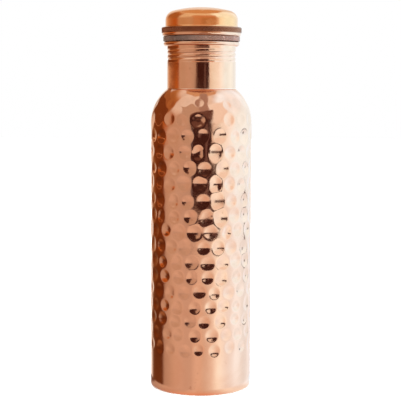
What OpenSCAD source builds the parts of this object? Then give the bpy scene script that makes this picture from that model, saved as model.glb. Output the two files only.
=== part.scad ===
// Hammered copper water bottle with a screw cap.
// Millimetres, +Z up, origin at the centre of the base on the surface it stands on.

/* [Body] */
// Outside diameter of the hammered body
body_d = 72; // [68:1:80]
// Height at which the straight wall ends and the shoulder begins
body_h = 189.5; // [150:0.5:230]
// Radius of the shoulder's curve, seen from the side
shoulder_r = 30.7; // [29:0.1:33]
// Thickness of the copper sheet
sheet = 0.7; // [0.6:0.05:0.8]
// Outside radius of the corner at the base
foot_r = 2.2; // [1.8:0.1:3]
// Width of the flat foot ring that is turned in under the base plate
foot_w = 3.6; // [3:0.1:5]
// Height of the base plate's middle above the surface it stands on
base_lift = 3.2; // [2:0.1:5]

/* [Neck] */
// Outside diameter of the plain neck
neck_d = 48.7; // [48:0.1:49.4]
// Height of the neck from the shoulder to the top of its rolled rim
neck_h = 33.4; // [30:0.1:40]
// Outside diameter of the rolled rim
rim_d = 53.8; // [52:0.2:54]

/* [Thread] */
// Rise of the thread in one turn
thread_pitch = 3.2; // [2.8:0.1:3.6]
// Depth to which the thread is rolled into the sheet
thread_depth = 0.7; // [0.6:0.05:1]
// Height of the threaded stretch
thread_h = 9.8; // [8:0.1:11]
// Radial gap between the neck's thread and the plug's
thread_gap = 0.25; // [0.2:0.05:0.4]

/* [Cap] */
// Outside diameter of the crown's upright side
crown_d = 51.2; // [50:0.2:51.4]
// Height of the crown above the knurled ring
crown_h = 14.2; // [12:0.1:18]
// Radius of the crown's rounded edge
crown_edge_r = 6.9; // [5:0.1:8]
// Radius of the crown's shallow dome
crown_dome_r = 83; // [75:1:200]
// Outside diameter of the knurled ring
ring_d = 56.6; // [56.4:0.2:58]
// Height of the knurled ring
ring_h = 4; // [3:0.1:5]
// Height of the smooth rounded lip under the ring
lip_h = 2.3; // [2.2:0.1:3.2]
// Thickness of the silicone gasket
gasket_h = 3.5; // [2.6:0.1:5]
// Outside diameter of the silicone gasket
gasket_d = 54.6; // [53.8:0.1:54.8]
// Length of the plug's plain end below its thread
plug_end = 1.9; // [1.9:0.1:5]

/* [Hidden] */
$fn = 96;

copper = "#c97a4e";
bright_copper = "#d98a5a";
dark_copper = "#7a4430";
braze_metal = "#d9a066";
silicone = "#8a7570";

body_r = body_d / 2;
neck_r = neck_d / 2;
rim_r = rim_d / 2;
crown_r = crown_d / 2;
ring_r = ring_d / 2;
gasket_r = gasket_d / 2;

// Shoulder: one arc that is upright at body_h and ends at the neck
shoulder_c = body_r - shoulder_r;
neck_hole_r = neck_r + 0.03;
shoulder_end = acos((neck_hole_r - shoulder_c) / shoulder_r);
shoulder_in_end = acos((neck_hole_r - shoulder_c) / (shoulder_r - sheet));
neck_z = body_h + shoulder_r * sin(shoulder_end);
rim_z = neck_z + neck_h;

// Foot and base plate
foot_in = body_r - foot_r - foot_w;
plate_r = body_r - sheet;
plate_corner = foot_r;
plate_skirt_h = 7;
plate_floor_r = foot_in - 5;

// Neck
neck_below = 3;
curl_r = (rim_r - neck_r + sheet) / 2;
thread_top = rim_z - 5.1;
thread_bottom = thread_top - thread_h;
rolled_thin = 0.1;
lap = 0.4;
thread_fade = thread_pitch / 2;
thread_segments = 36;
thread_step = thread_pitch / 7;

// Cap, from the rim upwards
seat_gap = 0.02;
gasket_z = rim_z + seat_gap;
gasket_top = gasket_z + gasket_h;
lip_z = gasket_top + seat_gap;
lip_r = ring_r - 0.5;
lip_round = 1.5;
ring_z = lip_z + lip_h;
crown_flange_z = lip_z + sheet;
flange_r = lip_r - lip_round - 0.1;
ring_top = ring_z + ring_h;
crown_top = ring_top + crown_h;
gasket_hole_r = neck_r - sheet - 0.4;

// Plug: its root runs inside the crests of the neck's thread
plug_root_r = neck_r - sheet - thread_depth - thread_gap;
plug_collar_r = plug_root_r + 0.3;
plug_z = thread_bottom - thread_fade - plug_end;
plug_corner = 1.8;
plug_dish = 1.2;

arc_steps = 16;

// Points along an arc, from angle a to angle b
function arc(x, y, r, a, b, steps = arc_steps) =
    [for (i = [0:steps]) let (t = a + (b - a) * i / steps) [x + r * cos(t), y + r * sin(t)]];

// 0 below the threaded stretch and above it, 1 in its middle
function fade(z) =
    let (near = min(z - thread_bottom, thread_top - z) / thread_fade)
    0.5 - 0.5 * cos(180 * min(1, max(0, near)));

// 1 along the thread's inward ridge and 0 between its turns.
// It is right-handed, and its ridge faces -Y a third of the way down.
function ridge(angle, z) =
    0.5 + 0.5 * cos(360 * (z - thread_top + thread_h / 3) / thread_pitch - angle - 90);

// A sheet tube whose outside radius is given for every angle and height, as one closed solid
module rolled_tube(z0, z1, radius, wall) {
    rows = ceil((z1 - z0) / thread_step);
    n = thread_segments;
    function ring_of(z, inset) =
        [for (i = [0:n - 1]) let (a = 360 * i / n, r = radius(a, z) - inset) [r * cos(a), r * sin(a), z]];
    points = [for (inset = [0, wall], j = [0:rows]) each ring_of(z0 + (z1 - z0) * j / rows, inset)];
    function at(side, j, i) = (side * (rows + 1) + j) * n + i % n;
    faces = [
        for (j = [0:rows - 1], i = [0:n - 1]) each [
            [at(0, j, i), at(0, j + 1, i), at(0, j + 1, i + 1)],
            [at(0, j, i), at(0, j + 1, i + 1), at(0, j, i + 1)],
            [at(1, j, i), at(1, j + 1, i + 1), at(1, j + 1, i)],
            [at(1, j, i), at(1, j, i + 1), at(1, j + 1, i + 1)]
        ],
        for (i = [0:n - 1]) each [
            [at(0, 0, i), at(0, 0, i + 1), at(1, 0, i + 1)],
            [at(0, 0, i), at(1, 0, i + 1), at(1, 0, i)],
            [at(0, rows, i), at(1, rows, i + 1), at(0, rows, i + 1)],
            [at(0, rows, i), at(1, rows, i), at(1, rows, i + 1)]
        ]
    ];
    polyhedron(points, faces);
}

// A plain sheet tube
module tube(r, z0, z1) {
    translate([0, 0, z0]) difference() {
        cylinder(r = r, h = z1 - z0);
        translate([0, 0, -1]) cylinder(r = r - sheet, h = z1 - z0 + 2);
    }
}

// Drawn body: foot ring, straight wall and shoulder in one sheet
module body_shell() {
    color(copper) rotate_extrude() polygon(concat(
        [[foot_in, 0]],
        arc(body_r - foot_r, foot_r, foot_r, -90, 0, 8),
        arc(shoulder_c, body_h, shoulder_r, 0, shoulder_end, 24),
        arc(shoulder_c, body_h, shoulder_r - sheet, shoulder_in_end, 0, 24),
        arc(body_r - foot_r, foot_r, foot_r - sheet, 0, -90, 8),
        [[foot_in, sheet]]
    ));
}

// Pressed base: an upright skirt inside the wall, and a raised middle
module base_plate() {
    rise = base_lift - sheet;
    color(bright_copper) rotate_extrude() polygon(concat(
        [[0, base_lift], [plate_floor_r, base_lift], [plate_floor_r + rise, sheet]],
        arc(plate_r - plate_corner, sheet + plate_corner, plate_corner, -90, 0, 8),
        [[plate_r, plate_skirt_h], [plate_r - sheet, plate_skirt_h]],
        arc(plate_r - plate_corner, sheet + plate_corner, plate_corner - sheet, 0, -90, 8),
        [[plate_floor_r + rise + sheet / 2, 2 * sheet], [plate_floor_r + sheet / 2, base_lift + sheet],
         [0, base_lift + sheet]]
    ));
}

// Fillet of braze metal between the foot ring and the base plate
module base_braze() {
    leg = sheet - 0.1;
    color(braze_metal) rotate_extrude() polygon(concat(
        [[foot_in, sheet]],
        arc(foot_in - leg, sheet - leg, leg, 90, 0, 6)
    ));
}

// Neck sleeve: plain tube, rolled thread and rolled rim
module neck_collar() {
    edge = neck_r - sheet / 2;
    curl_x = neck_r - sheet + curl_r;
    curl_z = rim_z - curl_r;
    color(copper) union() {
        tube(neck_r, neck_z - neck_below, thread_bottom - thread_fade + lap);
        rolled_tube(thread_bottom - thread_fade, thread_top + thread_fade / 2 + lap,
                    function (a, z) neck_r - rolled_thin - thread_depth * fade(z) * ridge(a, z),
                    sheet - 2 * rolled_thin);
        rotate_extrude() polygon(concat(
            [[neck_r - sheet, thread_top + thread_fade / 2]],
            arc(curl_x, curl_z, curl_r, 180, -70, 32),
            arc(curl_x, curl_z, curl_r - sheet, -70, 142, 24),
            [[neck_r, thread_top + thread_fade / 2]]
        ));
    }
}

// Fillet of braze metal where the neck stands on the shoulder
module neck_braze() {
    leg = 0.5;
    lift = 0.02;
    foot_angle = acos((neck_hole_r + leg - shoulder_c) / (shoulder_r + lift));
    waist = [neck_hole_r + leg / 4, neck_z + leg / 4];
    color(braze_metal) rotate_extrude() polygon(concat(
        arc(shoulder_c, body_h, shoulder_r + lift, foot_angle, shoulder_end, 6),
        [[neck_hole_r, neck_z + leg], waist]
    ));
}

// Silicone ring between the cap and the rim
module cap_gasket() {
    round_r = 0.8;
    color(silicone) rotate_extrude() polygon(concat(
        [[gasket_hole_r, gasket_z]],
        arc(gasket_r - round_r, gasket_z + round_r, round_r, -90, 0, 6),
        arc(gasket_r - round_r, gasket_top - round_r, round_r, 0, 90, 6),
        [[gasket_hole_r, gasket_top]]
    ));
}

// Threaded cup that closes the neck, with a flange turned up into a rounded lip
module cap_plug() {
    thread_end = thread_bottom - thread_fade;
    shank_z = thread_top + thread_fade;
    color(copper) union() {
        rotate_extrude() polygon(concat(
            [[0, plug_z + plug_dish], [plug_root_r - 2 * plug_corner, plug_z + plug_dish]],
            [[plug_root_r - 2 * plug_corner + plug_dish, plug_z]],
            arc(plug_root_r - plug_corner, plug_z + plug_corner, plug_corner, -90, 0, 8),
            [[plug_root_r, thread_end + lap], [plug_root_r - sheet, thread_end + lap]],
            arc(plug_root_r - plug_corner, plug_z + plug_corner, plug_corner - sheet, 0, -90, 8),
            [[plug_root_r - 2 * plug_corner + plug_dish + sheet / 2, plug_z + sheet]],
            [[plug_root_r - 2 * plug_corner + sheet / 2, plug_z + plug_dish + sheet],
             [0, plug_z + plug_dish + sheet]]
        ));
        rolled_tube(thread_end, shank_z,
                    function (a, z) plug_root_r - rolled_thin
                                    + thread_depth * fade(z) * (1 - ridge(a, z)),
                    sheet - 2 * rolled_thin);
        rotate_extrude() polygon(concat(
            [[plug_root_r - sheet, shank_z - lap], [plug_root_r, shank_z - lap]],
            [[plug_root_r, shank_z], [plug_collar_r, shank_z + 1], [plug_collar_r, lip_z]],
            arc(lip_r - lip_round, lip_z + lip_round, lip_round, -90, 0, 8),
            [[lip_r, ring_z], [lip_r - sheet, ring_z]],
            arc(lip_r - lip_round, lip_z + lip_round, lip_round - sheet, 0, -90, 8),
            [[plug_collar_r - sheet, lip_z + sheet], [plug_collar_r - sheet, shank_z + 1]],
            [[plug_root_r - sheet, shank_z]]
        ));
    }
}

// Domed cover of the cap, flanged at its lower edge
module cap_crown() {
    dome_z = crown_top - crown_dome_r;
    edge_x = crown_r - crown_edge_r;
    edge_z = dome_z + sqrt(pow(crown_dome_r - crown_edge_r, 2) - pow(edge_x, 2));
    lean = atan2(edge_z - dome_z, edge_x);
    bend = 1;
    color(copper) rotate_extrude() polygon(concat(
        [[flange_r, crown_flange_z], [flange_r, crown_flange_z + sheet]],
        arc(crown_r + bend - sheet, crown_flange_z + bend, bend - sheet, 270, 180, 6),
        arc(edge_x, edge_z, crown_edge_r, 0, lean),
        arc(0, dome_z, crown_dome_r, lean, 90, 8),
        arc(0, dome_z, crown_dome_r - sheet, 90, lean, 8),
        arc(edge_x, edge_z, crown_edge_r - sheet, lean, 0),
        arc(crown_r + bend - sheet, crown_flange_z + bend, bend, 180, 270, 6)
    ));
}

// Angle-section ring on the lip and round the crown, that the hand grips
module cap_knurled_ring() {
    grip = 0.05;
    soft = 0.5;
    color(dark_copper) rotate_extrude() polygon(concat(
        [[ring_r - sheet, ring_z], [ring_r, ring_z]],
        arc(ring_r - soft, ring_top - soft, soft, 0, 90, 4),
        [[crown_r + grip, ring_top], [crown_r + grip, ring_top - sheet]],
        [[ring_r - sheet, ring_top - sheet]]
    ));
}

body_shell();
base_plate();
base_braze();
neck_collar();
neck_braze();
cap_gasket();
cap_plug();
cap_crown();
cap_knurled_ring();
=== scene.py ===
"""Looks of the hammered copper bottle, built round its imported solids. Metres, +Z up."""

import math

import bpy
import numpy as np
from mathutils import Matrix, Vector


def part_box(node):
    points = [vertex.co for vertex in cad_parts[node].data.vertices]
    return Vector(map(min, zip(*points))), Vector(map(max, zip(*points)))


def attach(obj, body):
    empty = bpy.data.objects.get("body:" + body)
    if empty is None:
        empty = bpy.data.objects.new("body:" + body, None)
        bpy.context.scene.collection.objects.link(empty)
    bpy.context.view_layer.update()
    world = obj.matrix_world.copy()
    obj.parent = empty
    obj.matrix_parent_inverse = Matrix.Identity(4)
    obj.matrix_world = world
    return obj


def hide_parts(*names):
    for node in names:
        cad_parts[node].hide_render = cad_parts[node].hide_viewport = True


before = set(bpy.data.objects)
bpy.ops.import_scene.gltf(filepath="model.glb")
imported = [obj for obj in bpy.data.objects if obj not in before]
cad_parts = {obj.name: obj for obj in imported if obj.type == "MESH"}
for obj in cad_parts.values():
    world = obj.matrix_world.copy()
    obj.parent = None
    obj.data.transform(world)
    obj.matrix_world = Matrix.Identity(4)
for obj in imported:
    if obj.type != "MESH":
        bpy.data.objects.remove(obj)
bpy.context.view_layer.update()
TAU = 2 * math.pi
MM = 0.001
CREASE = 38  # degrees; sharper corners are shaded as edges

# ---------------------------------------------------------------- sizes

shell_low, shell_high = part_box("body_shell")
neck_low, neck_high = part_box("neck_collar")
gasket_low, gasket_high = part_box("cap_gasket")
ring_low, ring_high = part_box("cap_knurled_ring")
crown_low, crown_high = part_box("cap_crown")
plug_low, plug_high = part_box("cap_plug")
plate_low, plate_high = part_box("base_plate")

BODY_R = shell_high.x
NECK_Z = shell_high.z
RIM_R, RIM_Z = neck_high.x, neck_high.z
FLANGE_R = crown_high.x
SHEET = plate_low.z  # the base plate lies on the foot ring's sheet
NECK_R = 24.35 * MM
SHOULDER_R = 30.7 * MM
SHOULDER_Z = NECK_Z - math.sqrt(SHOULDER_R**2 - (NECK_R - BODY_R + SHOULDER_R) ** 2)
FOOT_R, FOOT_W = 2.2 * MM, 3.6 * MM
FOOT_INNER_R = BODY_R - FOOT_R - FOOT_W

PITCH, DEPTH, THREAD_H = 3.2 * MM, 0.7 * MM, 9.8 * MM
THREAD_TOP = RIM_Z - 5.1 * MM
THREAD_LOW = THREAD_TOP - THREAD_H
FADE = PITCH / 2
PLUG_R = NECK_R - SHEET - DEPTH - 0.25 * MM
CROWN_R, CROWN_EDGE, CROWN_DOME = 25.6 * MM, 6.9 * MM, 83 * MM
LIP_R, LIP_ROUND = plug_high.x, 1.5 * MM
ON_FACE = 0.01 * MM  # how near to a face's radius a point has to be to belong to it


# ---------------------------------------------------------------- meshes


def arc(x, y, r, a, b, steps):
    """Points on an arc from angle a to angle b, in degrees."""
    t = np.radians(np.linspace(a, b, steps + 1))
    return [(x + r * math.cos(k), y + r * math.sin(k)) for k in t]


def soften(points, radius):
    """Rounds the corners of an open profile, but not its ends or its nearly straight ones."""
    out, steps, straight = [points[0]], 4, math.radians(84)
    for i in range(1, len(points) - 1):
        p = np.array(points[i])
        a, b = np.array(points[i - 1]) - p, np.array(points[i + 1]) - p
        la, lb = np.linalg.norm(a), np.linalg.norm(b)
        a, b = a / la, b / lb
        half = math.acos(max(-1, min(1, float(a @ b)))) / 2
        if half > straight:
            out.append(points[i])
            continue
        cut = min(radius / math.tan(half), la * 0.45, lb * 0.45)
        for t in np.linspace(0, 1, steps + 1):
            q = (1 - t) ** 2 * (p + a * cut) + 2 * t * (1 - t) * p + t**2 * (p + b * cut)
            out.append((float(q[0]), float(q[1])))
    out.append(points[-1])
    return out


def spread(points, step):
    """Adds points so that no two neighbours of a profile are further apart than step."""
    out = []
    for (x0, z0), (x1, z1) in zip(points, points[1:]):
        n = max(1, math.ceil(math.hypot(x1 - x0, z1 - z0) / step))
        out += [(x0 + (x1 - x0) * k / n, z0 + (z1 - z0) * k / n) for k in range(n)]
    return out + [points[-1]]


def mesh_object(name, verts, faces):
    """A smooth mesh object whose sharp corners stay sharp."""
    mesh = bpy.data.meshes.new(name)
    mesh.from_pydata(verts, [], faces)
    mesh.update()
    mesh.polygons.foreach_set("use_smooth", [True] * len(mesh.polygons))
    mesh.set_sharp_from_angle(angle=math.radians(CREASE))
    obj = bpy.data.objects.new(name, mesh)
    bpy.context.scene.collection.objects.link(obj)
    return obj


def turned(name, profile, segments, shape, closed=True):
    """Turns a profile of (r, z) points round the axis.

    shape(r, z, angle) moves the surface: it returns the new r and z of every point.
    A closed profile joins its last point to its first; an open one ends on the axis."""
    pr, pz = np.array(profile, float).T
    angle = np.arange(segments) * TAU / segments
    r, z = np.repeat(pr[:, None], segments, 1), np.repeat(pz[:, None], segments, 1)
    r, z = shape(r, z, angle[None, :])
    rows = np.stack([r * np.cos(angle), r * np.sin(angle), z], -1)
    n, faces = segments, []
    if closed:
        verts = rows.reshape(-1, 3).tolist()
        pairs = [(j, (j + 1) % len(rows)) for j in range(len(rows))]
    else:
        verts = rows[1:-1].reshape(-1, 3).tolist()
        pairs = [(j, j + 1) for j in range(len(rows) - 3)]
        first, last = len(verts), len(verts) + 1
        verts += [[0, 0, float(pz[0])], [0, 0, float(pz[-1])]]
        end = (len(rows) - 3) * n
        faces += [(first, (i + 1) % n, i) for i in range(n)]
        faces += [(last, end + i, end + (i + 1) % n) for i in range(n)]
    for j, k in pairs:
        for i in range(n):
            m = (i + 1) % n
            faces.append((j * n + i, j * n + m, k * n + m, k * n + i))
    return mesh_object(name, verts, faces)


def fade(z):
    """0 outside the threaded stretch and 1 in its middle."""
    near = np.minimum(z - THREAD_LOW, THREAD_TOP - z) / FADE
    return 0.5 - 0.5 * np.cos(math.pi * np.clip(near, 0, 1))


def ridge(angle, z):
    """1 along the thread's narrow inward ridge and 0 between its turns; right-handed."""
    turn = (z - THREAD_TOP + THREAD_H / 3) / PITCH
    narrowness = 2.4
    return (0.5 + 0.5 * np.cos(TAU * turn - angle - math.pi / 2)) ** narrowness


# ---------------------------------------------------------------- body

FIRST_ROW, ROWS, DENTS_IN_ROW = 32.5 * MM, 17, 20
# The lowest gap between two rows, and how much wider each next one gets
ROW_GAP, GAP_GROWTH = 9.9 * MM, 0.052 * MM
DENT_R, DENT_DEPTH = (4.15 * MM, 5.1 * MM), (0.74 * MM, 0.92 * MM)
RIM_CRISPNESS = 9.0
# Where each row of blows starts, from the foot up, in parts of a dent
ROW_TURNS = (-0.06, -0.38, 0.26, -0.44, -0.13, 0.45, 0.38, 0.12, -0.38)
ROW_TURNS += (0.22, 0.13, -0.09, 0.29, -0.09, 0.22, -0.16, -0.19)
# How hard the blows of the two highest rows fell, and single blows by row and place in the row
HIGH_ROWS = {ROWS - 2: 0.8, ROWS - 1: 0.42}
FIRM = {(16, 0): 0.5, (16, 1): 0.12, (15, 0): 1.5, (15, 1): 0.14, (14, 0): 0.6, (14, 1): 0.72}
# The column of dents that is drawn out upward, the dents in it, and how much larger and taller
LONG_COLUMN, LONG_ROWS, LONG_SIZE, LONG_TALL = 1, range(9, 14), 1.04, 1.24
# A blow that the hammer struck twice: how far up and over each strike is, and its part of the size
DOUBLE_CHANCE, DOUBLE = 0.14, [(0.3, 0.06, 0.78), (-0.24, -0.05, 0.92)]
rng = np.random.default_rng(41)


def body_outline():
    """The body's outer profile from the foot ring up to the neck, fine where it is hammered.

    The hammering begins at a height on the wall and ends at an angle on the shoulder."""
    cx, hammered_from, hammered_to = BODY_R - SHOULDER_R, 16 * MM, 34
    top = math.degrees(math.acos((NECK_R - cx) / SHOULDER_R))
    rows = [(FOOT_INNER_R, 0.0)]
    rows += arc(BODY_R - FOOT_R, FOOT_R, FOOT_R, -90, 0, 7)
    rows += [(BODY_R, float(z)) for z in np.linspace(FOOT_R, hammered_from, 7)[1:]]
    rows += [(BODY_R, float(z)) for z in np.linspace(hammered_from, SHOULDER_Z, 244)[1:]]
    rows += arc(cx, SHOULDER_Z, SHOULDER_R, 0, hammered_to, 26)[1:]
    return rows + arc(cx, SHOULDER_Z, SHOULDER_R, hammered_to, top, 8)[1:]


def size_in_row(j):
    """How large the dents of a row are, in parts of a full dent."""
    return 0.8 if j == ROWS - 1 else min(1, 0.88 + 0.02 * j)


def firmness(j, i):
    """How hard a blow fell: softer low down, in the highest rows and toward the left side."""
    left_side, reach = -85, 34
    azimuth = (i + ROW_TURNS[j]) * 360 / DENTS_IN_ROW
    from_left = (azimuth - left_side + 180) % 360 - 180
    part = min(1.0, 0.75 + 0.04 * j) * FIRM.get((j, i), HIGH_ROWS.get(j, 1))
    return part * (1 - 0.4 * math.exp(-((from_left / reach) ** 2)))


def dent_depth(along, around, angle):
    """Depth of the hammered dents over the outer surface: rows of round dishes."""
    first = FIRST_ROW + FOOT_W + FOOT_R * (math.pi / 2 - 1)
    total = np.zeros((len(along), len(angle)))
    step = TAU / DENTS_IN_ROW
    for j in range(ROWS):
        row = first + ROW_GAP * j + GAP_GROWTH * j * j
        row_r = around[int(np.argmin(abs(along - row)))]
        for i in range(DENTS_IN_ROW):
            a0 = (i + ROW_TURNS[j] + rng.normal(0, 0.06)) * step - math.pi / 2
            s = row + rng.normal(0, 0.5 * MM)
            size = rng.uniform(*DENT_R) * size_in_row(j)
            depth = rng.uniform(*DENT_DEPTH) * firmness(j, i)
            tall, wide = rng.uniform(0.94, 1.06), rng.uniform(0.94, 1.06)
            near = np.where(abs(along - s) < size * 2.2)[0]
            turn = (angle - a0 + math.pi) % TAU - math.pi
            beside = np.where(abs(turn) * row_r < size * 1.8)[0]
            strikes = DOUBLE if rng.random() < DOUBLE_CHANCE else [(0, 0, 1)]
            if i == LONG_COLUMN and j in LONG_ROWS:
                size, tall, strikes = size * LONG_SIZE, tall * LONG_TALL, [(0, 0, 1)]
            for up, over, part in strikes:
                dy = (along[near][:, None] - s) / tall - up * size
                dx = (around[near][:, None] * turn[beside][None, :]) / wide - over * size
                inside = 1 - (dx**2 + dy**2) / (part * size) ** 2
                dish = depth * part * np.log1p(np.exp(RIM_CRISPNESS * inside)) / RIM_CRISPNESS
                block = total[np.ix_(near, beside)]
                total[np.ix_(near, beside)] = (block**4 + dish**4) ** (1 / 4)
    return total


def waves(along, angle):
    """Slow unevenness of a hand-worked wall, between 0 and 1."""
    out, layers = np.zeros((len(along), len(angle))), 9
    for _ in range(layers):
        n, k = rng.integers(2, 9), rng.uniform(20, 95)
        out += np.cos(n * angle[None, :] + k * along[:, None] + rng.uniform(0, TAU))
    return (out - out.min()) / (out.max() - out.min())


def hammered_body():
    """The body's shell, its dents pressed in along the outer surface's normals."""
    outer = body_outline()
    p = np.array(outer)
    d = np.gradient(p, axis=0)
    d /= np.linalg.norm(d, axis=1)[:, None]
    inward = np.stack([-d[:, 1], d[:, 0]], -1)
    along = np.concatenate([[0], np.cumsum(np.linalg.norm(np.diff(p, axis=0), axis=1))])
    segments, wave_depth = 328, 0.09 * MM
    angle = np.arange(segments) * TAU / segments
    depth = dent_depth(along, p[:, 0], angle)
    ends = np.clip(np.minimum(p[:, 1] - 3 * MM, NECK_Z - 3 * MM - p[:, 1]) / (6 * MM), 0, 1)
    depth = depth + waves(along, angle) * wave_depth * ends[:, None]
    inside = arc(BODY_R - SHOULDER_R, SHOULDER_Z, SHOULDER_R - SHEET * 1.5, 50, 0, 7)
    inside += [(BODY_R - SHEET * 1.5, 8 * MM), (BODY_R - SHEET, 7.4 * MM)]
    inside += arc(BODY_R - FOOT_R, FOOT_R, FOOT_R - SHEET, 0, -90, 3)
    inside += [(FOOT_INNER_R, SHEET)]

    def shape(r, z, _):
        moved = depth.shape[0]
        r[:moved] += inward[:, :1] * depth
        z[:moved] += inward[:, 1:] * depth
        return r, z

    return turned("hammered_body", outer + inside, segments, shape)


def base_profile():
    """The pressed plate's profile: raised middle, slope, flat edge and skirt."""
    plate_r, corner = BODY_R - SHEET, FOOT_R
    rise = 2.5 * MM
    lift, floor_r = SHEET + rise, FOOT_INNER_R - 5 * MM
    under = [(0, lift), (floor_r - 2 * MM, lift), (floor_r, lift), (floor_r + rise, SHEET)]
    under += arc(plate_r - corner, SHEET + corner, corner, -90, 0, 8)
    under += [(plate_r, plate_high.z), (plate_r - SHEET, plate_high.z)]
    under += arc(plate_r - corner, SHEET + corner, corner - SHEET, 0, -90, 8)
    under += [(floor_r + rise + SHEET / 2, 2 * SHEET), (floor_r + SHEET / 2, lift + SHEET)]
    under += [(floor_r - 2 * MM, lift + SHEET), (0, lift + SHEET)]
    return spread(soften(under, 0.8 * MM), 2.5 * MM)


def base_rings(r, z, angle):
    """Faint spinning marks on the base plate."""
    flat = np.clip((24 * MM - r) / (6 * MM), 0, 1) * np.clip(r / (3 * MM), 0, 1)
    return r, z + 0.05 * MM * flat * (0.5 + 0.5 * np.cos(r / MM * 1.9 + 0.5 * np.sin(angle)))


def bead(name, corner, size, out, lumps):
    """A fillet of braze metal in a corner, a little uneven along its length.

    It spreads outward from the corner where out is 1 and inward where it is -1."""
    x, z = corner
    face = arc(x + out * size, z + size, size, 270, 270 - 90 * out, 6)
    profile = [(x, z + size), (x, z)] + face
    wobble = rng.uniform(0, TAU, 3)

    def shape(r, zz, angle):
        k = sum(np.sin(n * angle + w) for n, w in zip((11, 23, 41), wobble)) / 3
        return x + (r - x) * (1 + lumps * k), z + (zz - z) * (1 + lumps * k)

    return turned(name, spread(profile, 0.25 * MM), 240, shape)


# ---------------------------------------------------------------- neck


def neck_profile():
    """The neck's closed profile: outer wall, curled rim and inner wall."""
    curl = (RIM_R - NECK_R + SHEET) / 2
    cx, cz = NECK_R - SHEET + curl, RIM_Z - curl
    low, top = neck_low.z, THREAD_TOP + FADE
    outer = [(NECK_R, float(z)) for z in np.linspace(low, NECK_Z + 0.5 * MM, 8)]
    outer += [(NECK_R, float(z)) for z in np.linspace(NECK_Z + 1 * MM, THREAD_LOW - FADE, 16)]
    outer += [(NECK_R, float(z)) for z in np.linspace(THREAD_LOW - FADE, top, 84)[1:]]
    throat = arc(cx, cz, curl - SHEET, 142, -70, 20)
    over = arc(cx, cz, curl, -70, 180, 40)
    inner = [(NECK_R - SHEET, float(z)) for z in np.linspace(top, THREAD_LOW - FADE, 84)]
    inner += [(NECK_R - SHEET, float(z)) for z in np.linspace(THREAD_LOW - FADE, low, 8)[1:]]
    return outer + throat + over + inner


def neck_thread(r, z, angle):
    """Presses the helical groove into the neck's sheet, with the crests a little worn."""
    wall = np.clip((NECK_R + ON_FACE - r) / ON_FACE, 0, 1)
    press = DEPTH * fade(z) * ridge(angle, z)
    outside = abs(r - NECK_R) < ON_FACE
    worn = 0.16 * MM * fade(z) * (1 - ridge(angle, z))
    uneven = 0.03 * MM * (0.5 + 0.5 * np.sin(3 * angle + z * 90)) * (z < THREAD_LOW)
    return r - wall * press - outside * (worn + uneven), z


# ---------------------------------------------------------------- cap


def crown_profile():
    """The crown's open profile: dome, rounded edge, wall and flange, then back up inside."""
    z0, top = crown_low.z, crown_high.z
    dome_z = top - CROWN_DOME
    ex = CROWN_R - CROWN_EDGE
    ez = dome_z + math.sqrt((CROWN_DOME - CROWN_EDGE) ** 2 - ex**2)
    lean = math.degrees(math.atan2(ez - dome_z, ex))
    bend, flare_top = 1.0 * MM, ring_high.z + 1.3 * MM
    out = arc(0, dome_z, CROWN_DOME, 90, lean, 26)
    out += arc(ex, ez, CROWN_EDGE, lean, 0, 20)[1:]
    out += [(CROWN_R, float(z)) for z in np.linspace(ez, flare_top, 5)[1:]]
    out += [(CROWN_R, float(z)) for z in np.linspace(flare_top, flare_top - 1.6 * MM, 17)[1:]]
    out += arc(CROWN_R + bend - SHEET, z0 + bend, bend - SHEET, 180, 270, 5)
    out += [(FLANGE_R, z0 + SHEET), (FLANGE_R, z0)]
    out += arc(CROWN_R + bend - SHEET, z0 + bend, bend, 270, 180, 5)
    out += arc(ex, ez, CROWN_EDGE - SHEET, 0, lean, 14)
    return out + arc(0, dome_z, CROWN_DOME - SHEET, lean, 90, 14)[1:]


def crown_dings(r, z, angle):
    """Barely uneven spun sheet, with a small flare just above the ring."""
    k = 0.5 + 0.5 * np.sin(2 * angle + z / MM * 0.35)
    inset = 0.05 * MM * k * np.clip(r / (8 * MM), 0, 1)
    up = (z - ring_high.z) / MM
    flare = 0.5 * MM * np.clip(1 - up / 1.2, 0, 1) ** 2 * np.clip(1 + up / 0.3, 0, 1)
    flare = np.where(abs(r - CROWN_R) < ON_FACE, flare, 0)
    return r + flare - np.where(r < FLANGE_R - 1 * MM, inset, 0), z


def ring_profile():
    """The ring's closed profile: an upright face and a top that closes in on the crown."""
    r, z0, z1, soft = ring_high.x, ring_low.z, ring_high.z, 0.5 * MM
    gap = CROWN_R + 0.56 * MM
    face = [(r, float(z)) for z in np.linspace(z0 + 0.3 * MM, z1 - soft - 0.05 * MM, 30)]
    out = [(r - SHEET, z0), (r - 0.3 * MM, z0), (r - 0.09 * MM, z0 + 0.09 * MM)] + face
    out += arc(r - soft, z1 - soft, soft, 0, 90, 5)
    return out + [(gap, z1), (gap, z1 - SHEET), (r - SHEET, z1 - SHEET)]


def knurl(r, z, angle):
    """Cuts crossing grooves, so that small diamonds stand up on the ring's face."""
    z0, z1 = ring_low.z + 0.45 * MM, ring_high.z - 0.75 * MM
    lines, groove_depth = 132, 0.34 * MM
    on = np.clip(np.minimum(z - z0, z1 - z) / (0.25 * MM), 0, 1)
    on = on * (r > ring_high.x - 0.02 * MM)
    slope = (z - z0) / ring_high.x
    groove = 0
    for way in (-1, 1):
        wave = abs(np.sin((angle + way * slope) * lines / 2))
        groove = np.maximum(groove, np.clip(1 - wave * 1.7, 0, 1))
    return r - groove_depth * on * groove, z


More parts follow.
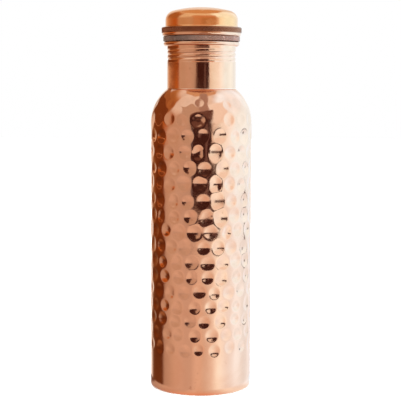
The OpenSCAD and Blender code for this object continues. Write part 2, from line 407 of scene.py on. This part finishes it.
def gasket_profile():
    """The gasket's closed profile, round at its outer edge."""
    r, z0, z1 = gasket_high.x, gasket_low.z, gasket_high.z
    hole, soft = NECK_R - SHEET - 0.4 * MM, 0.8 * MM
    out = [(hole, z0)] + arc(r - soft, z0 + soft, soft, -90, 0, 8)
    out += [(r, float(z)) for z in np.linspace(z0 + soft, z1 - soft, 8)[1:-1]]
    return out + arc(r - soft, z1 - soft, soft, 0, 90, 8) + [(hole, z1)]


def gasket_press(r, z, angle):
    """A squeezed waist and a slightly wavy edge."""
    mid = (gasket_low.z + gasket_high.z) / 2
    waist = 0.16 * MM * np.exp(-(((z - mid) / (0.9 * MM)) ** 2))
    wavy = 0.05 * MM * (0.5 + 0.5 * np.sin(5 * angle + 1))
    return np.where(r > RIM_R - 2 * MM, r - waist - wavy, r), z


def plug_profile():
    """The plug's open profile: dished bottom, threaded wall, collar and turned-up lip, then back."""
    z0, top, lip_z = plug_low.z, THREAD_TOP + FADE, crown_low.z - SHEET
    r, corner, dish = PLUG_R, 1.8 * MM, 1.2 * MM
    low, collar, turn_r = THREAD_LOW - FADE, PLUG_R + 0.3 * MM, LIP_R - LIP_ROUND
    out = [(0, z0 + dish), (r - 2 * corner, z0 + dish), (r - 2 * corner + dish, z0)]
    out += arc(r - corner, z0 + corner, corner, -90, 0, 8)
    out += [(r, float(z)) for z in np.linspace(low, top, 84)]
    out += [(collar, top + 1 * MM), (collar, lip_z)]
    out += arc(turn_r, lip_z + LIP_ROUND, LIP_ROUND, -90, 0, 12)
    out += [(LIP_R, plug_high.z), (LIP_R - SHEET, plug_high.z)]
    out += arc(turn_r, lip_z + LIP_ROUND, LIP_ROUND - SHEET, 0, -90, 8)
    out += [(collar - SHEET, lip_z + SHEET), (collar - SHEET, top + 1 * MM)]
    out += [(r - SHEET, float(z)) for z in np.linspace(top, low, 84)]
    out += arc(r - corner, z0 + corner, corner - SHEET, 0, -90, 8)
    out += [(r - 2 * corner + dish + SHEET / 2, z0 + SHEET)]
    return out + [(r - 2 * corner + SHEET / 2, z0 + dish + SHEET), (0, z0 + dish + SHEET)]


def plug_thread(r, z, angle):
    """Pushes the matching thread out of the plug's sheet."""
    wall = (abs(r - PLUG_R) < ON_FACE) | (abs(r - PLUG_R + SHEET) < ON_FACE)
    wall = wall & (z > THREAD_LOW - FADE - ON_FACE)
    return r + wall * DEPTH * fade(z) * (1 - ridge(angle, z)), z


# ---------------------------------------------------------------- materials


class Nodes:
    """A short way to write a material's node tree."""

    def __init__(self, name):
        self.mat = bpy.data.materials.new(name)
        self.mat.use_nodes = True
        self.tree = self.mat.node_tree
        self.tree.nodes.clear()
        self.out = self.add("ShaderNodeOutputMaterial")
        self.coord = self.add("ShaderNodeTexCoord").outputs["Object"]

    def add(self, kind, **values):
        """A new node with its settings."""
        node = self.tree.nodes.new(kind)
        for key, value in values.items():
            setattr(node, key, value)
        return node

    def link(self, a, b):
        self.tree.links.new(a, b)

    def put(self, socket, value):
        """Links a socket to another node's output, or sets it to a plain value."""
        if isinstance(value, bpy.types.NodeSocket):
            self.link(value, socket)
        else:
            socket.default_value = value

    def stretched(self, scale):
        """The object's own coordinates, scaled by its own amount along each axis."""
        node = self.add("ShaderNodeMapping")
        self.link(self.coord, node.inputs["Vector"])
        node.inputs["Scale"].default_value = scale
        return node.outputs["Vector"]

    def noise(self, scale, detail=3.0, rough=0.55, where=None, twist=0.0):
        """Cloudy noise between 0 and 1."""
        node = self.add("ShaderNodeTexNoise")
        self.link(where or self.coord, node.inputs["Vector"])
        node.inputs["Scale"].default_value = scale
        node.inputs["Detail"].default_value = detail
        node.inputs["Roughness"].default_value = rough
        node.inputs["Distortion"].default_value = twist
        return node.outputs["Fac"]

    def ramp(self, value, low, high, a=0.0, b=1.0):
        """Goes smoothly from a to b while the value goes from low to high."""
        node = self.add("ShaderNodeMapRange", interpolation_type="SMOOTHSTEP")
        self.link(value, node.inputs["Value"])
        for key, v in (("From Min", low), ("From Max", high), ("To Min", a), ("To Max", b)):
            node.inputs[key].default_value = v
        return node.outputs["Result"]

    def blend(self, fac, a, b):
        """The colour that is fac of the way from a to b."""
        node = self.add("ShaderNodeMix", data_type="RGBA")
        colour_a, colour_b, colour_out = 6, 7, 2
        self.put(node.inputs["Factor"], fac)
        self.put(node.inputs[colour_a], a)
        self.put(node.inputs[colour_b], b)
        return node.outputs[colour_out]

    def plus(self, a, b):
        """The sum of two values."""
        node = self.add("ShaderNodeMath", operation="ADD")
        self.link(a, node.inputs[0])
        self.link(b, node.inputs[1])
        return node.outputs[0]

    def bump(self, height, distance, strength=1.0, normal=None):
        """A shading normal that follows a height, in metres at full height."""
        node = self.add("ShaderNodeBump")
        self.link(height, node.inputs["Height"])
        node.inputs["Distance"].default_value = distance
        node.inputs["Strength"].default_value = strength
        if normal:
            self.link(normal, node.inputs["Normal"])
        return node.outputs["Normal"]


def rgba(r, g, b):
    """A colour as the sockets want it."""
    return (r, g, b, 1.0)


def copper(name, tone, stain, rough=(0.07, 0.16), grain=0.012 * MM, spun=0.0):
    """Copper with tarnish clouds, small spots, polishing lines and fine pits."""
    n = Nodes(name)
    clouds = n.ramp(n.noise(26, 4, 0.6, twist=0.6), 0.42, 0.72, 0.0, 0.5)
    spots = n.ramp(n.noise(240, 2, 0.5), 0.7, 0.8, 0.0, 0.35)
    colour = n.blend(clouds, rgba(*tone), rgba(*stain))
    colour = n.blend(spots, colour, rgba(stain[0] * 0.7, stain[1] * 0.62, stain[2] * 0.6))
    lines = n.noise(1.0, 3, 0.7, where=n.stretched((90, 90, 2600)))
    wear = n.plus(n.ramp(n.noise(60, 5, 0.65), 0.3, 0.75), n.ramp(lines, 0.3, 0.7, 0, 0.3))
    normal = n.bump(n.noise(900, 3, 0.6), grain)
    normal = n.bump(n.noise(150, 2, 0.5), grain * 4, 0.6, normal)
    if spun:
        normal = n.bump(lines, spun, 1.0, normal)
    shader = n.add("ShaderNodeBsdfPrincipled")
    shader.inputs["Metallic"].default_value = 1.0
    n.link(colour, shader.inputs["Base Color"])
    n.link(n.ramp(wear, 0.0, 1.3, rough[0], rough[1]), shader.inputs["Roughness"])
    n.link(normal, shader.inputs["Normal"])
    n.link(shader.outputs["BSDF"], n.out.inputs["Surface"])
    return n.mat


def silicone(name):
    """Dark grey-brown silicone with pale dust, a slight sheen and moulded grain."""
    n = Nodes(name)
    cloud = n.ramp(n.noise(70, 4), 0.35, 0.7)
    colour = n.blend(cloud, rgba(0.07, 0.034, 0.023), rgba(0.1, 0.053, 0.038))
    dust = n.ramp(n.noise(420, 3, 0.7), 0.58, 0.74, 0.0, 0.6)
    colour = n.blend(dust, colour, rgba(0.28, 0.2, 0.17))
    shader = n.add("ShaderNodeBsdfPrincipled")
    n.link(colour, shader.inputs["Base Color"])
    n.link(n.ramp(n.noise(160, 3), 0.3, 0.7, 0.3, 0.45), shader.inputs["Roughness"])
    shader.inputs["Subsurface Weight"].default_value = 0.12
    shader.inputs["Subsurface Radius"].default_value = (2 * MM, 1 * MM, 0.8 * MM)
    n.link(n.bump(n.noise(700, 3), 0.03 * MM), shader.inputs["Normal"])
    n.link(shader.outputs["BSDF"], n.out.inputs["Surface"])
    return n.mat


def glow(name, colour):
    """A surface that gives out its own light."""
    n = Nodes(name)
    shader = n.add("ShaderNodeEmission")
    shader.inputs["Color"].default_value = rgba(*colour)
    n.link(shader.outputs["Emission"], n.out.inputs["Surface"])
    return n.mat


SPUN = 0.004 * MM  # depth of the fine polishing lines
body_copper = copper("hammered_copper", (0.93, 0.53, 0.36), (0.84, 0.40, 0.24))
smooth_copper = copper("polished_copper", (0.93, 0.53, 0.35), (0.86, 0.42, 0.25), spun=SPUN)
golden_copper = copper("golden_copper", (0.94, 0.47, 0.22), (0.88, 0.36, 0.12), (0.15, 0.23), spun=SPUN)
plain_copper = copper("pressed_copper", (0.9, 0.53, 0.38), (0.78, 0.38, 0.24), (0.16, 0.3), spun=0.01 * MM)
# The knurled ring: copper darkened all over, painted shade standing in for the shade caught in its knurl
# grooves
knurl_shaded_copper = copper("knurl_painted_shade_copper", (0.38, 0.15, 0.08), (0.18, 0.07, 0.04), (0.24, 0.4), 0.02 * MM)
# The neck's braze bead: a paler braze copper, its paleness partly a painted highlight along the joint
soft_copper = copper("pale_braze_with_painted_highlight", (0.95, 0.70, 0.55), (0.88, 0.58, 0.42), (0.14, 0.24))
braze = copper("braze_metal", (0.8, 0.56, 0.32), (0.5, 0.33, 0.2), (0.25, 0.45), 0.03 * MM)
rubber = silicone("gasket_silicone")

# ---------------------------------------------------------------- pieces


def place(obj, body, node, material):
    """Dresses a piece, ties it to the body it moves with and hides the node it stands in for."""
    obj.data.materials.append(material)
    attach(obj, body)
    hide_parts(node)


place(hammered_body(), "bottle", "body_shell", body_copper)
base = turned("pressed_base", base_profile(), 200, base_rings, closed=False)
place(base, "bottle", "base_plate", plain_copper)
base_bead = bead("base_braze_bead", (FOOT_INNER_R, 0.1 * MM), SHEET - 0.1 * MM, -1, 0.06)
place(base_bead, "bottle", "base_braze", braze)
neck = turned("rolled_neck", neck_profile(), 256, neck_thread)
place(neck, "bottle", "neck_collar", smooth_copper)
neck_bead = bead("neck_braze_bead", (NECK_R, NECK_Z - 0.1 * MM), 0.45 * MM, 1, 0.09)
place(neck_bead, "bottle", "neck_braze", soft_copper)

gasket = turned("silicone_gasket", gasket_profile(), 256, gasket_press)
place(gasket, "gasket", "cap_gasket", rubber)
plug = turned("threaded_plug", plug_profile(), 256, plug_thread, closed=False)
place(plug, "cap", "cap_plug", smooth_copper)
crown = turned("domed_crown", crown_profile(), 256, crown_dings, closed=False)
place(crown, "cap", "cap_crown", golden_copper)
ring = turned("knurled_band", ring_profile(), 1056, knurl)
place(ring, "cap", "cap_knurled_ring", knurl_shaded_copper)

# ---------------------------------------------------------------- studio


def stage_mesh(name, verts, faces, material, camera=False, diffuse=True, glossy=True, shadow=False):
    """A piece of the studio, seen only by the kinds of light that it is meant for."""
    mesh = bpy.data.meshes.new(name)
    mesh.from_pydata(verts, [], faces)
    mesh.materials.append(material)
    obj = bpy.data.objects.new(name, mesh)
    bpy.context.scene.collection.objects.link(obj)
    obj.visible_camera, obj.visible_diffuse = camera, diffuse
    obj.visible_glossy, obj.visible_shadow = glossy, shadow
    return obj


def panel(name, start, end, low, high, radius, colour):
    """A curved card round the bottle. Angles run to the right from the camera's side, in degrees."""
    steps = max(2, int(abs(end - start) / 4))
    verts = []
    for a in np.radians(np.linspace(start, end, steps + 1)):
        x, y = radius * math.sin(a), -radius * math.cos(a)
        verts += [(x, y, low), (x, y, high)]
    faces = [(2 * k, 2 * k + 2, 2 * k + 3, 2 * k + 1) for k in range(steps)]
    stage_mesh(name, verts, faces, glow(name, colour), diffuse=False)


# A tone that changes nothing
PLAIN = (1, 1, 1)
# The room that the copper mirrors: light by angle to the right of the camera's side
ROOM = (
    (-180, (0.95, 0.92, 0.84)),
    (-165, (0.94, 0.88, 0.78)),
    (-150, (0.80, 0.68, 0.56)),
    (-90, (0.56, 0.40, 0.30)),
    (-70, (0.61, 0.46, 0.35)),
    (-42, (0.59, 0.45, 0.36)),
    (-22, (0.53, 0.41, 0.33)),
    (0, (0.72, 0.58, 0.47)),
    (25, (0.87, 0.84, 0.78)),
    (40, (1.02, 1.22, 1.24)),
    (60, (1.03, 1.28, 1.42)),
    (85, (1.06, 1.60, 2.00)),
    (125, (1.00, 1.48, 1.80)),
    (148, (1.00, 1.36, 1.55)),
    (166, (0.96, 1.05, 1.06)),
    (180, (0.95, 0.92, 0.84)),
)


def smooth(x, low, high):
    """0 up to low, 1 from high on, and an even change between them."""
    t = min(1.0, max(0.0, (x - low) / (high - low)))
    return t * t * (3 - 2 * t)


def mix(a, b, k):
    """The tone that is k of the way from a to b."""
    return np.array(a) * (1 - k) + np.array(b) * k


def daylight(azimuth, elevation):
    """Light of the open room, without its dark wall, from one direction below the ceiling."""
    stops = [k for k, _ in ROOM]
    light = np.array([np.interp(azimuth, stops, [c[n] for _, c in ROOM]) for n in range(3)])
    below, deep = smooth(-elevation, 1, 7), smooth(-elevation, 6, 13)
    right = smooth(azimuth, 20, 60)
    light = light * mix(PLAIN, mix((1.0, 1.04, 1.1), (0.97, 0.98, 1.03), right), below)
    lift = mix((0.97, 0.95, 0.94), (1.22, 1.2, 1.18), smooth(azimuth, -78, -40))
    lift = mix(lift, (1.06, 1.06, 1.04), smooth(azimuth, -15, 10))
    return light * mix(PLAIN, mix(lift, (1.0, 0.92, 0.88), smooth(azimuth, 45, 80)), deep)


def dark_wall(azimuth, elevation):
    """The wall on the left, reddish at eye height and nearly black lower down.

    Returns its tone and how far it covers the room in this direction."""
    edge = -81 - 11 * smooth(-elevation, -0.4, 2) + 2.5 * smooth(-elevation, 5, 9)
    edge -= 5 * smooth(-elevation, 11, 13.5)
    cover = smooth(azimuth, -153, -137) * (1 - smooth(azimuth, edge - 5, edge + 5))
    tone = mix((0.72, 0.46, 0.27), (0.48, 0.15, 0.03), smooth(azimuth, -150, -90))
    across = smooth(azimuth, -149, -120)
    tone = mix(tone, mix((0.40, 0.20, 0.08), (0.17, 0.045, 0.01), across), smooth(-elevation, 0.3, 2.8))
    tone = mix(tone, mix((0.19, 0.08, 0.035), (0.12, 0.034, 0.01), across), smooth(-elevation, 8, 14))
    tone = mix(tone, (0.34, 0.15, 0.06), smooth(-elevation, 16, 26))
    tone = mix(tone, (0.42, 0.18, 0.058), smooth(elevation, 6, 22))
    tone = mix(tone, (0.63, 0.34, 0.14), smooth(elevation, 45, 57))
    return tone, cover * (1 - smooth(elevation, 50, 62))


def room(azimuth, elevation):
    """Light that comes from one direction of the room."""
    light = daylight(azimuth, elevation)
    side = math.sin(math.radians(azimuth)) * math.cos(math.radians(elevation))
    ceiling = mix((0.84, 0.84, 0.8), (1.05, 1.5, 1.9), smooth(side, 0.3, 0.5))
    light = mix(light, ceiling, smooth(elevation, 12, 36))
    light = mix(light, *dark_wall(azimuth, elevation))

    # Underneath everything the table falls into shade
    light = mix(light, (0.22, 0.11, 0.075), smooth(-elevation, 40, 54))
    ripple = math.sin(math.radians(azimuth * 7)) * math.sin(math.radians(elevation * 9 + 40))
    return light * (1 + 0.06 * ripple)


def ring_faces(rings, around):
    """Four-sided faces between neighbouring rings of points."""
    faces = []
    for j in range(rings - 1):
        for i in range(around):
            k = (i + 1) % around
            faces.append((j * around + i, j * around + k, (j + 1) * around + k, (j + 1) * around + i))
    return faces


def tinted(name, verts, faces, tones):
    """A stage mesh that glows in the colours of its corners."""
    n = Nodes(name)
    tone = n.add("ShaderNodeVertexColor", layer_name="tone")
    shader = n.add("ShaderNodeEmission")
    n.link(tone.outputs["Color"], shader.inputs["Color"])
    n.link(shader.outputs["Emission"], n.out.inputs["Surface"])
    mesh = stage_mesh(name, verts, faces, n.mat, diffuse=False).data
    layer = mesh.color_attributes.new("tone", "FLOAT_COLOR", "POINT")
    layer.data.foreach_set("color", [v for t in tones for v in (*t, 1.0)])


def room_shell():
    """A ball round the whole scene that carries the room's light as vertex colours."""
    across, up, radius, middle = 180, 72, 1.7, 0.15
    verts, tones = [], []
    for elevation in np.linspace(-90, 90, up + 1):
        e = math.radians(elevation)
        for i in range(across):
            azimuth = -180 + 360 * i / across
            a = math.radians(azimuth)
            x, y = math.sin(a) * math.cos(e), -math.cos(a) * math.cos(e)
            verts.append((radius * x, radius * y, middle + radius * math.sin(e)))
            tones.append(room(azimuth, elevation))
    tinted("room_shell", verts, ring_faces(up + 1, across), tones)


def floor_tones():
    """The patch of floor just round the foot: close in it glows with painted shade, a painted warm glow
    from the copper and painted light, and like the room further out.
    """
    around, verts, tones = 48, [], []
    radii = (0.0, 0.033, 0.037, 0.042, 0.048, 0.054)
    for r in radii:
        for i in range(around):
            azimuth = i * 360 / around - 180
            a = math.radians(azimuth)
            verts.append((r * math.sin(a), -r * math.cos(a), -0.5 * MM))
            # Painted light close in: painted shade on the left, a painted warm glow from the copper in
            # front, a painted pool of light on the right
            warm = mix((0.48, 0.34, 0.28), (0.82, 0.5, 0.36), smooth(azimuth, -70, -15))
            warm = mix(warm, (1.03, 1.2, 1.25), smooth(azimuth, 5, 50))
            tones.append(mix(warm, room(azimuth, -15), smooth(r, 0.036, 0.053)))
    tinted("floor_mirrored", verts, ring_faces(len(radii), around), tones)


def awning(name, start, end, near, far, height, colour):
    """A level card over a sector of the floor.

    Its near edge runs from one distance at the start to another at the end."""
    points = [(far, a) for a in np.linspace(start, end, 8)] + [(near[1], end), (near[0], start)]
    turned_to = [(r, math.radians(a)) for r, a in points]
    verts = [(r * math.sin(a), -r * math.cos(a), height) for r, a in turned_to]
    stage_mesh(name, verts, [tuple(range(len(verts)))], glow(name, colour), diffuse=False)


room_shell()

# Cards that stand round the bottle: the body and neck mirror those below SPLIT, the cap the others
DARK = (0.05, 0.018, 0.015)
SPLIT = 0.2475
panel("card_dark_low", -19, 23, -0.003, 0.20, 1.1, DARK)
panel("card_dark_wide", 23, 44, -0.005, 0.115, 1.1, DARK)
panel("card_dark_mid", -14, 26, 0.20, SPLIT, 1.1, (0.045, 0.01, 0.007))
panel("card_edge_low", -23, -19, -0.003, 0.20, 1.1, (0.13, 0.1, 0.11))
panel("card_edge_mid", -19, -14, 0.20, SPLIT, 1.1, (0.3, 0.2, 0.16))
panel("card_stripe", 9, 14, 0.0, SPLIT, 1.08, (0.17, 0.1, 0.09))
panel("card_warm_left", -27, 0, SPLIT, 0.62, 1.12, (0.62, 0.355, 0.21))
panel("card_warm_right", 0, 47, SPLIT, 0.62, 1.12, (0.53, 0.30, 0.15))
panel("card_warm_edge", 47, 56, SPLIT, 0.62, 1.12, (0.74, 0.6, 0.5))
panel("card_warm_top", -34, 50, 0.62, 1.3, 1.12, (0.66, 0.38, 0.24))
panel("card_wall", -138, -97, 0.10, 0.211, 1.12, (0.18, 0.05, 0.012))
panel("card_rod", 115, 120, -0.09, 0.03, 1.3, (0.12, 0.06, 0.04))

# Level cards that keep the cap's cards out of the body's reflections. From below, the lower
# layer hides the upper one
LOW, HIGH = SPLIT, SPLIT + 0.7 * MM
awning("awning_far", -18, 24, (0.30, 0.30), 1.12, LOW, DARK)
awning("awning_near", -22, 25, (0.16, 0.10), 0.30, LOW, (0.13, 0.06, 0.045))
awning("awning_beam", -5, 17, (0.031, 0.031), 0.098, LOW, (0.42, 0.30, 0.25))
awning("awning_left", -150, -80, (0.11, 0.11), 1.12, LOW, (0.19, 0.056, 0.015))
awning("awning_left_near", -150, -80, (0.072, 0.072), 0.14, HIGH, (0.36, 0.14, 0.045))
awning("awning_soft", -42, -4, (0.07, 0.07), 1.12, HIGH, (0.55, 0.43, 0.34))
awning("awning_mauve", -4, 16, (0.09, 0.09), 0.3, HIGH, (0.42, 0.30, 0.25))
awning("awning_bright", 16, 60, (0.07, 0.07), 1.12, HIGH, (0.98, 1.06, 1.06))

# A disc over the bottle, mirrored by the cap's dome
awning("awning_top", -180, 172, (0.001, 0.001), 0.075, 0.36, (0.68, 0.45, 0.27))


def pale_floor():
    """The floor that the camera sees. The copper mirrors the tinted one instead."""
    n = Nodes("pale_floor")
    shader = n.add("ShaderNodeBsdfPrincipled")
    shader.inputs["Base Color"].default_value = rgba(0.86, 0.86, 0.86)
    shader.inputs["Roughness"].default_value = 0.9
    shader.inputs["Specular IOR Level"].default_value = 0.1
    n.link(shader.outputs["BSDF"], n.out.inputs["Surface"])
    half = 4
    square = [(-half, -half, 0), (half, -half, 0), (half, half, 0), (-half, half, 0)]
    stage_mesh("floor", square, [(0, 1, 2, 3)], n.mat, camera=True, glossy=False, shadow=True)


def white_world():
    """An even white surround."""
    world = bpy.data.worlds.new("studio")
    world.use_nodes = True
    world.node_tree.nodes["Background"].inputs["Color"].default_value = rgba(1, 1, 1)
    world.node_tree.nodes["Background"].inputs["Strength"].default_value = 1.0
    bpy.context.scene.world = world


def sun(name, energy, spread, turn, shadow):
    """A broad soft lamp that the copper doesn't mirror."""
    lamp = bpy.data.lights.new(name, "SUN")
    lamp.energy, lamp.angle, lamp.use_shadow = energy, math.radians(spread), shadow
    obj = bpy.data.objects.new(name, lamp)
    obj.rotation_euler = [math.radians(a) for a in turn]
    obj.visible_glossy = False
    bpy.context.scene.collection.objects.link(obj)


pale_floor()
floor_tones()
white_world()
sun("overhead", 4.2, 100, (12, 14, 0), True)
sun("from_the_right", 12.0, 20, (0, 86, -20), False)
bpy.context.scene.view_settings.view_transform = "Standard"

# ---------------------------------------------------------------- camera

DISTANCE, HEIGHT = 0.857, 0.216
LENS, SENSOR, SHIFT = 107.730673, 36, -0.0024
PITCH_DOWN, ROLL = 5.45, -0.19
cam = bpy.data.cameras.new("camera")
cam.sensor_width, cam.sensor_fit = SENSOR, "HORIZONTAL"
cam.lens, cam.shift_x = LENS, SHIFT
cam.dof.use_dof = False
cam_obj = bpy.data.objects.new("camera", cam)
cam_obj.location = (0, -DISTANCE, HEIGHT)
cam_obj.rotation_euler = (math.radians(90 - PITCH_DOWN), math.radians(ROLL), 0)
bpy.context.scene.collection.objects.link(cam_obj)
bpy.context.scene.camera = cam_obj
